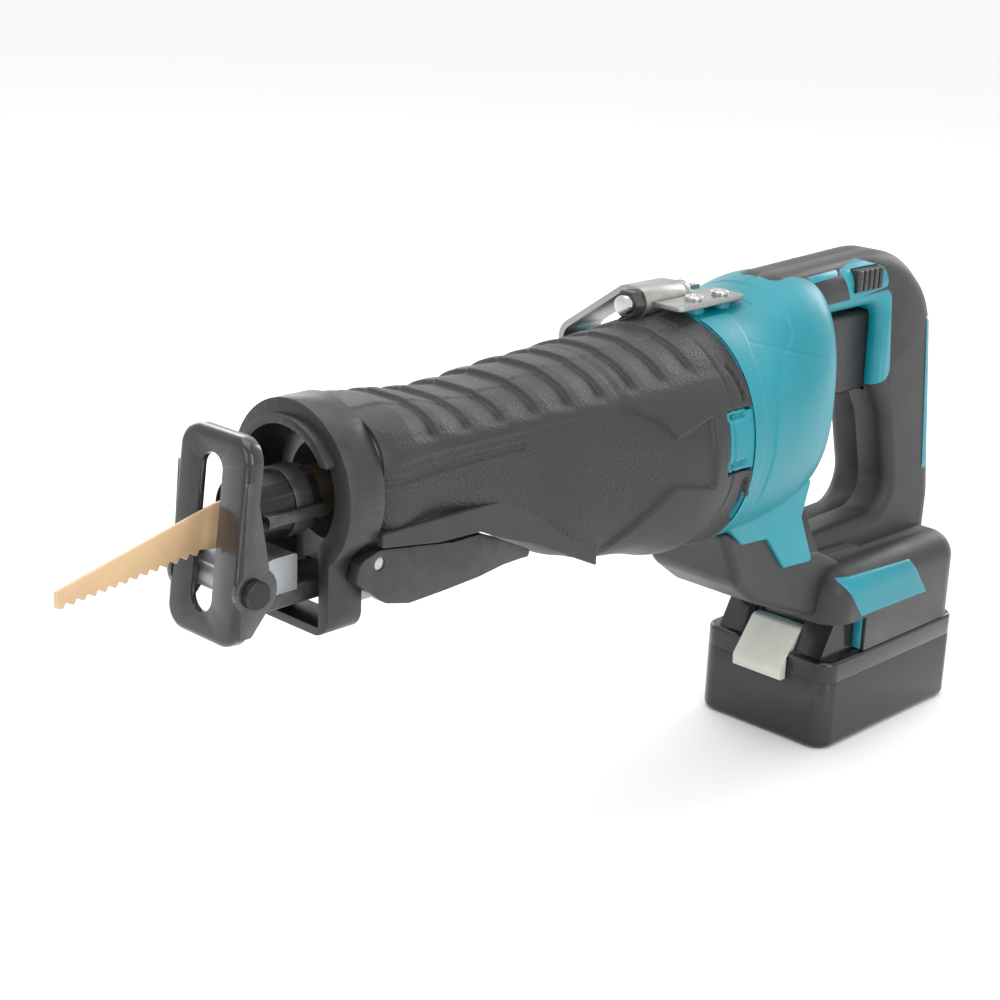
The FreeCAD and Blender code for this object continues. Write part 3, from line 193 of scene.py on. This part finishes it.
def finish(name, colour, rough, grain_mm=0.5, bump=0.1, leather=0.0, metal=0.0, worn=None, wear=0.35,
           sheen=0.0, coat=0.0, specular=0.5, spread=0.08, streaks=0.0, grain_mask=None):
    """One finish: colour and roughness that drift over the surface, a grain bump and rubbed edges."""
    made = bpy.data.materials.new(name)
    made.use_nodes = True
    tree = made.node_tree
    shader = tree.nodes["Principled BSDF"]
    grain = placed(tree, GRAIN, Size_mm=grain_mm, Leather=leather)
    cloud = placed(tree, CLOUD, Size_mm=45.0)
    rub = placed(tree, RUB, Reach=0.05, Patchiness=0.6)
    worn = worn or tuple(min(1.0, c * 1.6 + 0.02) for c in colour)
    dark = tuple(c * 0.82 for c in colour)
    base = node(tree, "ShaderNodeMix", {"data_type": "RGBA"}, _6=(*dark, 1), _7=(*colour, 1),
                _0=cloud.outputs["Cloud"])
    fleck = node(tree, "ShaderNodeMapRange", None, Value=grain.outputs["Speck"], From_Min=0.3, From_Max=0.7,
                 To_Min=0.92, To_Max=1.06)
    speckled = node(tree, "ShaderNodeMix", {"data_type": "RGBA", "blend_type": "MULTIPLY"}, _0=1.0,
                    _6=base.outputs[2])
    grey = node(tree, "ShaderNodeCombineColor")
    for i in range(3):
        tree.links.new(fleck.outputs[0], grey.inputs[i])
    tree.links.new(grey.outputs[0], speckled.inputs[7])
    amount = node(tree, "ShaderNodeMath", {"operation": "MULTIPLY"}, _0=rub.outputs["Mask"], _1=wear)
    rubbed = node(tree, "ShaderNodeMix", {"data_type": "RGBA"}, _0=amount.outputs[0], _6=speckled.outputs[2],
                  _7=(*worn, 1))
    tree.links.new(rubbed.outputs[2], shader.inputs["Base Color"])
    drift = node(tree, "ShaderNodeMapRange", None, Value=cloud.outputs["Cloud"], To_Min=rough - spread,
                 To_Max=rough + spread)
    marked = node(tree, "ShaderNodeMath", {"operation": "MULTIPLY_ADD", "use_clamp": True},
                  _0=cloud.outputs["Streak"], _1=streaks, _2=drift.outputs[0])
    tree.links.new(marked.outputs[0], shader.inputs["Roughness"])
    relief = node(tree, "ShaderNodeBump", None, Strength=bump, Distance=0.001 * grain_mm,
                  Height=grain.outputs["Height"])
    if grain_mask:
        masked = node(tree, "ShaderNodeAttribute", {"attribute_name": grain_mask})
        depth = node(tree, "ShaderNodeMapRange", None, Value=masked.outputs["Fac"], To_Min=bump * 0.12,
                     To_Max=bump)
        tree.links.new(depth.outputs[0], relief.inputs["Strength"])
    tree.links.new(relief.outputs[0], shader.inputs["Normal"])
    shader.inputs["Metallic"].default_value = metal
    shader.inputs["Specular IOR Level"].default_value = specular
    shader.inputs["Sheen Weight"].default_value = sheen
    shader.inputs["Coat Weight"].default_value = coat
    shader.inputs["Coat Roughness"].default_value = 0.08
    return made


BLACK = (0.013, 0.0135, 0.015)
finishes = {
    "shoe_steel": finish("shoe_steel", (0.006, 0.006, 0.007), 0.2, 1.6, 0.05, coat=0.35, spread=0.06,
                         worn=(0.16, 0.16, 0.17), wear=0.35, streaks=0.15),
    "black_oxide": finish("black_oxide", (0.018, 0.018, 0.02), 0.3, 0.5, 0.08, metal=0.35,
                          worn=(0.2, 0.2, 0.21)),
    "cast_alu": finish("cast_alu", (0.33, 0.35, 0.37), 0.45, 0.45, 0.25, metal=0.9, worn=(0.7, 0.7, 0.7)),
    "hard_chrome": finish("hard_chrome", (0.2, 0.2, 0.21), 0.12, 0.8, 0.03, metal=1.0, streaks=0.2,
                          spread=0.04),
    "steel": finish("steel", (0.42, 0.42, 0.43), 0.3, 0.4, 0.08, metal=1.0, streaks=0.2),
    "blade_gold": finish("blade_gold", (0.62, 0.42, 0.235), 0.42, 0.35, 0.12, metal=0.55,
                         worn=(0.75, 0.66, 0.52), streaks=0.2),
    "bronze": finish("bronze", (0.25, 0.17, 0.09), 0.35, 0.5, 0.15, metal=0.9, worn=(0.6, 0.55, 0.45)),
    "black_rubber": finish("black_rubber", (0.017, 0.0175, 0.019), 0.5, 1.15, 0.55, leather=0.75, sheen=0.05,
                           worn=(0.06, 0.06, 0.065), grain_mask="grain"),
    "black_nylon": finish("black_nylon", BLACK, 0.38, 0.5, 0.12, worn=(0.07, 0.07, 0.075)),
    "teal_nylon": finish("teal_nylon", (0.0, 0.235, 0.295), 0.4, 0.45, 0.12, worn=(0.1, 0.42, 0.48),
                         wear=0.3),
    "soft_grip": finish("soft_grip", (0.016, 0.016, 0.018), 0.47, 0.6, 0.16, sheen=0.05,
                        worn=(0.05, 0.05, 0.055)),
    "battery_black": finish("battery_black", (0.007, 0.007, 0.008), 0.19, 0.7, 0.05, coat=0.15, spread=0.05,
                            worn=(0.06, 0.06, 0.065), streaks=0.1),
    "cream_plastic": finish("cream_plastic", (0.62, 0.61, 0.55), 0.42, 0.5, 0.08, worn=(0.7, 0.7, 0.66)),
    "gunmetal": finish("gunmetal", (0.36, 0.36, 0.345), 0.36, 0.5, 0.1, metal=0.85, worn=(0.6, 0.6, 0.58),
                       streaks=0.15),
    "zinc": finish("zinc", (0.62, 0.63, 0.64), 0.22, 0.6, 0.08, metal=1.0, streaks=0.2),
    "copper_core": finish("copper_core", (0.3, 0.2, 0.14), 0.4, 0.4, 0.2, metal=0.9),
    "cell_wrap": finish("cell_wrap", (0.03, 0.16, 0.08), 0.35, 0.6, 0.05),
    "board_green": finish("board_green", (0.02, 0.1, 0.04), 0.35, 0.6, 0.1),
    "brass_contact": finish("brass_contact", (0.6, 0.42, 0.16), 0.3, 0.4, 0.08, metal=1.0),
}

# ---- CAD pieces that keep their own shape ---------------------------------------------------
# Turned, cast, stamped and moulded pieces whose CAD shape is the real one. Each gets its
# finish and a small broken edge, as machining and moulding leave one.
for part in frame["record"]["subparts"]:
    piece = nodes[part["node"]]
    piece.data.materials.clear()
    piece.data.materials.append(finishes[part["material_slot"]])
    weld = piece.modifiers.new("joined_faces", "WELD")
    weld.merge_threshold = 1e-6
    broken = piece.modifiers.new("broken_edge", "BEVEL")
    broken.width = 0.00035
    broken.segments = 2
    broken.limit_method = "ANGLE"
    broken.angle_limit = math.radians(40)
    broken.harden_normals = True
    piece.data.shade_smooth()


# ---- rubber boot ----------------------------------------------------------------------------
# A thick moulded sleeve over the gear case. Ratchet ribs cross its back for the leading hand,
# smooth plates stand proud above and below a leathery side panel, and a long groove is cut
# along each side. It is stretched over the case and held by its rim against the housing.
OFFSET = 394.0


def searcher(*names):
    """Ray search over the surfaces of some CAD nodes."""
    shell = bmesh.new()
    for name in names:
        mesh = nodes[name].data.copy()
        mesh.transform(nodes[name].matrix_world)
        shell.from_mesh(mesh)
    return BVHTree.FromBMesh(shell)


def wrapped(tree, xs, angles, centre_z):
    """Points, in mm along the tool, where rays aimed at the long axis first meet the surface."""
    points = np.zeros((len(xs), len(angles), 3))
    found = np.zeros((len(xs), len(angles)), bool)
    for i, x in enumerate(xs):
        for j, angle in enumerate(angles):
            out = Vector((0.0, math.sin(angle), math.cos(angle)))
            centre = Vector(((x - OFFSET) / 1000.0, 0.0, centre_z / 1000.0))
            spot = tree.ray_cast(centre + out * 0.12, -out, 0.112)[0]
            if spot is not None:
                points[i, j] = (x, spot.y * 1000.0, spot.z * 1000.0)
                found[i, j] = True
    return points, found


def outward(points):
    along = np.gradient(points, axis=0)
    around = np.roll(points, -1, axis=1) - np.roll(points, 1, axis=1)
    normal = np.cross(around, along)
    normal /= np.maximum(np.linalg.norm(normal, axis=2, keepdims=True), 1e-9)
    middle = points[:, :, 1:].mean(axis=1, keepdims=True)
    away = ((points[:, :, 1:] - middle) * normal[:, :, 1:]).sum(axis=2).mean()
    return normal if away > 0 else -normal


def step(value, low, high):
    t = np.clip((value - low) / (high - low), 0.0, 1.0)
    return t * t * (3.0 - 2.0 * t)


def capsule(x, z, ax, az, bx, bz):
    """Distance in the side view from a line between two points."""
    t = np.clip(((x - ax) * (bx - ax) + (z - az) * (bz - az)) / ((bx - ax) ** 2 + (bz - az) ** 2), 0, 1)
    return np.hypot(x - ax - t * (bx - ax), z - az - t * (bz - az))


def skin(name, points, keep, slot, thickness, grain=None, closed=True):
    """A grid of points in mm made into a piece with some wall thickness, riding on the frame."""
    rows, columns = keep.shape
    index = np.arange(rows * columns).reshape(rows, columns)
    quads = []
    for i in range(rows - 1):
        for j in range(columns if closed else columns - 1):
            n = (j + 1) % columns
            if keep[i, j] and keep[i + 1, j] and keep[i, n] and keep[i + 1, n]:
                quads.append((index[i, j], index[i, n], index[i + 1, n], index[i + 1, j]))
    flat = points.reshape(-1, 3) - (OFFSET, 0.0, 0.0)
    mesh = bpy.data.meshes.new(name)
    mesh.from_pydata((flat / 1000.0).tolist(), [], quads)
    if grain is not None:
        values = mesh.attributes.new("grain", "FLOAT", "POINT")
        values.data.foreach_set("value", grain.reshape(-1).astype(np.float32))
    tidy = bmesh.new()
    tidy.from_mesh(mesh)
    bmesh.ops.delete(tidy, geom=[v for v in tidy.verts if not v.link_faces], context="VERTS")
    bmesh.ops.recalc_face_normals(tidy, faces=tidy.faces)
    tidy.to_mesh(mesh)
    tidy.free()
    piece = bpy.data.objects.new(name, mesh)
    bpy.context.scene.collection.objects.link(piece)
    mesh.materials.append(finishes[slot])
    mesh.shade_smooth()
    wall = piece.modifiers.new("wall", "SOLIDIFY")
    wall.thickness = thickness / 1000.0
    wall.offset = -1.0
    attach(piece, "frame")
    return piece


boot_points, boot_found = wrapped(searcher("rubber_boot"), np.linspace(58.2, 251.9, 330),
                                  np.linspace(0.0, 2.0 * math.pi, 440, endpoint=False), 168.0)
bx, by, bz = boot_points[:, :, 0], np.abs(boot_points[:, :, 1]), boot_points[:, :, 2]
upper_line = np.interp(bx, [58, 138, 183, 197.4, 206.5, 236, 252],
                       [194, 195.1, 197.7, 190.6, 181.1, 187.9, 189])
lower_line = np.interp(bx, [178, 192, 207.3, 236, 252], [136, 149.5, 161.4, 156.0, 155.0])
front_share = 1.0 - step(bx, 181.0, 186.0)
plate_top = step(bz - upper_line, 0.0, 1.3)
plate_low = step(lower_line - bz, 0.0, 1.3) * step(bx, 178.0, 184.0)
collar = step(bx, 226.5, 229.5)
raised = np.clip(plate_top * (1.0 - 0.55 * front_share) + plate_low + collar, 0.0, 1.0)
PANEL_DEPTH, RIB_DEPTH = 1.9, 1.9
RIB_COUNT, RIB_FIRST, RIB_PITCH, RIB_SLOPE = 9, 87.0, 17.5, 12.5
depth = -PANEL_DEPTH * (1.0 - raised)
ribbed = np.zeros_like(bx)
for i in range(RIB_COUNT):
    at = RIB_FIRST + RIB_PITCH * i
    slope = np.clip((bx - (at - RIB_SLOPE)) / RIB_SLOPE, 0.0, 1.0)
    wall_up = 1.0 - step(bx, at, at + 1.1)
    ribbed = np.maximum(ribbed, np.where(bx > at - RIB_SLOPE, slope, 0.0) * wall_up)
tip = step(36.5 - by, 0.0, 7.0) * step(bz, 198.5, 204.0)
depth -= RIB_DEPTH * ribbed * tip * step(bx, 70.0, 76.0)
depth -= 0.55 * step(by, 10.6, 11.8) * step(bz, 200.0, 204.0)
depth -= 0.8 * step(1.9 - capsule(bx, bz, 56.0, 188.4, 128.5, 190.4), 0.0, 0.7)
depth -= 0.7 * step(1.0 - np.abs(bx - 240.0), 0.0, 0.8)
for ax, az, cx, cz in ((246.7, 202.6, 248.5, 191.1), (249.0, 156.0, 252.0, 137.0)):
    depth -= 2.4 * step(1.7 - capsule(bx, bz, ax, az, cx, cz), 0.0, 0.6)
notch = (bx > 236.0) & (bz > 160.6) & (bz < 187.4) & (by > 20.0)
panel = (1.0 - plate_top) * (1.0 - plate_low) * (1.0 - step(bx, 205.0, 209.0))
roof = (1.0 - step(by, 36.0, 38.0)) * step(bz, 198.0, 201.0) * 0.35
boot_points = boot_points + outward(boot_points) * depth[:, :, None]
sleeve = skin("boot_sleeve", boot_points, boot_found & ~notch, "black_rubber", 1.6,
              np.clip(panel + roof, 0.0, 1.0))
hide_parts("rubber_boot")

# ---- teal tabs in the boot's rear edge --------------------------------------------------------
# The housing reaches forward through a notch on each side of the boot; each tab has two
# short slots across it that the boot's hooks catch in.
tabs = boot_points.copy()
slotted = np.zeros_like(bx)
for z in (185.0, 164.4):
    slotted = np.maximum(slotted, step(1.5 - capsule(bx, bz, 238.6, z, 247.0, z), 0.0, 0.5))
tabs = tabs - outward(tabs) * (0.5 + 1.6 * slotted)[:, :, None]
inside = (bx > 236.6) & (bz > 161.2) & (bz < 186.8) & (by > 20.0) & boot_found
skin("housing_tabs", tabs, inside, "teal_nylon", 1.4)

# ---- teal barrel ------------------------------------------------------------------------------
# Glass-filled nylon moulded in two halves that meet on the centre line. A flange butts
# against the boot, a raised panel lies on each side, and a V-shaped recess parts them.
barrel_points, barrel_found = wrapped(searcher("housing_left", "housing_right"),
                                      np.linspace(252.4, 330.6, 160),
                                      np.linspace(0.0, 2.0 * math.pi, 440, endpoint=False), 172.0)
tx, ty, tz = barrel_points[:, :, 0], np.abs(barrel_points[:, :, 1]), barrel_points[:, :, 2]
flange_end = np.interp(tz, [117, 137, 158, 192.5, 206.1, 218.6], [256, 257, 259, 261.4, 264, 271.5])
panel_start = np.interp(tz, [117, 150, 175, 190, 200, 209, 218.2, 223.8],
                        [266, 266, 268, 271, 279, 293, 297.7, 300.8])
lift = 0.12 + 0.68 * (1.0 - step(tx, flange_end - 0.5, flange_end + 0.5))
lift += 0.62 * step(tx, panel_start - 0.9, panel_start + 0.9) * (1.0 - step(tx, 316.0, 330.0))
lift -= 0.35 * step(0.7 - capsule(tx, tz, 267.2, 209.4, 309.6, 197.1), 0.0, 0.5)
lift -= 0.4 * step(0.45 - ty, 0.0, 0.25)
clear = (np.abs(barrel_points[:, :, 1] - 2.0) > 16.0) | (tz < 205.0) | (tx > 288.0)
barrel_points = barrel_points + outward(barrel_points) * np.maximum(lift, 0.03)[:, :, None]
skin("barrel_skin", barrel_points, barrel_found & clear, "teal_nylon", 0.1)


# ---- tongue and chin --------------------------------------------------------------------------
# Below the barrel a teal tongue runs down into the black chin that carries the base. The
# tongue is part of the housing halves; the soft black skin is moulded round it.
def moulding(name, outline, half_width, round_off, slot, body="frame", centre_y=0.0):
    """A side outline extruded across the tool, with rolled edges."""
    shape = bmesh.new()
    near = (centre_y - half_width) / 1000.0
    ring = [shape.verts.new(((x - OFFSET) / 1000.0, near, z / 1000.0)) for x, z in outline]
    face = shape.faces.new(ring)
    pushed = bmesh.ops.extrude_face_region(shape, geom=[face])["geom"]
    bmesh.ops.translate(shape, vec=(0.0, half_width * 2.0 / 1000.0, 0.0),
                        verts=[v for v in pushed if isinstance(v, bmesh.types.BMVert)])
    bmesh.ops.recalc_face_normals(shape, faces=shape.faces)
    mesh = bpy.data.meshes.new(name)
    shape.to_mesh(mesh)
    shape.free()
    piece = bpy.data.objects.new(name, mesh)
    bpy.context.scene.collection.objects.link(piece)
    mesh.materials.append(finishes[slot])
    mesh.shade_smooth()
    edge = piece.modifiers.new("rolled", "BEVEL")
    edge.width = round_off / 1000.0
    edge.segments = 4
    edge.limit_method = "ANGLE"
    edge.angle_limit = math.radians(25)
    edge.harden_normals = True
    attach(piece, body)
    return piece


moulding("housing_tongue", [(262.0, 130.0), (277.6, 115.6), (296.0, 114.2), (310.5, 97.0), (330.5, 95.6),
                            (331.5, 97.5), (321.0, 119.5), (326.0, 136.0), (300.0, 142.0)],
         27.5, 2.2, "teal_nylon")
moulding("chin_skin", [(266.0, 122.0), (276.5, 100.0), (278.0, 95.0), (295.0, 82.6), (314.0, 74.8),
                       (345.0, 62.6), (366.0, 62.6), (372.0, 82.0), (341.0, 98.5), (329.5, 99.5),
                       (320.0, 118.0), (300.0, 126.0)],
         25.6, 4.5, "soft_grip")

# ---- boot skirt -------------------------------------------------------------------------------
# The boot's lower edge hangs as a flat lip on each side, down to the lever that it shields.
for side, word in ((-1, "left"), (1, "right")):
    moulding("boot_skirt_" + word, [(59.0, 170.0), (59.0, 164.8), (88.0, 160.6), (109.0, 160.0),
                                    (120.0, 155.2), (141.0, 147.4), (176.0, 131.0), (176.0, 150.0),
                                    (120.0, 170.0)], 1.6, 0.8,
             "black_rubber", centre_y=side * 29.2)

# ---- coloured inlays ---------------------------------------------------------------------------
# Thin teal badges set into the base and the grip, following their surfaces. They carry no marks.


def inlay(name, targets, corners, side, slot, height=0.35, across=26, along=40):
    """A four-cornered patch laid on the side of some CAD nodes, seen straight from that side."""
    tree = searcher(*targets)
    points = np.zeros((along, across, 3))
    found = np.zeros((along, across), bool)
    a, b, c, d = [np.array(corner, float) for corner in corners]
    for i, u in enumerate(np.linspace(0, 1, along)):
        for j, v in enumerate(np.linspace(0, 1, across)):
            x, z = (a * (1 - u) + b * u) * (1 - v) + (d * (1 - u) + c * u) * v
            start = Vector(((x - OFFSET) / 1000.0, side * 0.12, z / 1000.0))
            spot = tree.ray_cast(start, Vector((0.0, -side, 0.0)), 0.12)[0]
            if spot is not None:
                edge = min(u, 1 - u, v, 1 - v) > 0.0
                points[i, j] = (x, spot.y * 1000.0 + side * (height if edge else 0.05), z)
                found[i, j] = True
    return skin(name, points, found, slot, 0.02, closed=False)


for side, word in ((-1, "left"), (1, "right")):
    over = "overmould_" + word
    inlay("base_badge_" + word, [over], [(346.0, 85.0), (402.4, 82.6), (417.6, 62.8), (362.0, 63.6)],
          side, "teal_nylon")
    inlay("grip_stripe_" + word, [over], [(424.5, 196.0), (429.5, 196.0), (438.5, 118.0), (434.0, 118.0)],
          side, "teal_nylon")
